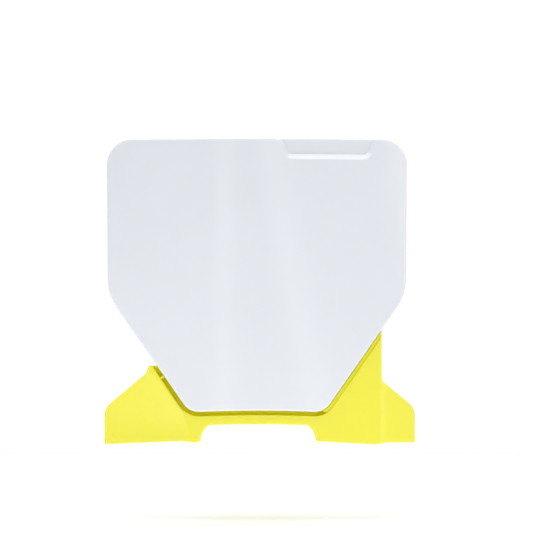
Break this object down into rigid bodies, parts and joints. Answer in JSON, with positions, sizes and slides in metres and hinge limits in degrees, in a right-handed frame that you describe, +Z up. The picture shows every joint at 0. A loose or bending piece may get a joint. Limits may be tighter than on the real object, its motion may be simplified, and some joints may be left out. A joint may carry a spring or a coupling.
{
  "type": "racing number board",
  "caption": "Bowed front number board for a motorbike: a plain white plate screwed to a folded yellow lower shroud with swept-back wings and a bolt-down tongue.",
  "frame": {"origin": "centre of the lower bolt hole, on the face of the ring that sits on the clamp", "axes": "+Z up along the bolt hole, +X to the right as the number is read, +Y to the rear, so the number faces -Y"},
  "size_m": [0.2496, 0.055, 0.2443],
  "materials": {
    "board_plastic": "white injection-moulded polypropylene, semi-gloss",
    "shroud_plastic": "yellow injection-moulded polypropylene, semi-gloss",
    "screw_steel": "zinc-plated self-tapping screws"
  },
  "bodies": {
    "root": {"number_board": "board_plastic", "lower_shroud": "shroud_plastic", "board_screws": "screw_steel"}
  },
  "joints": []
}
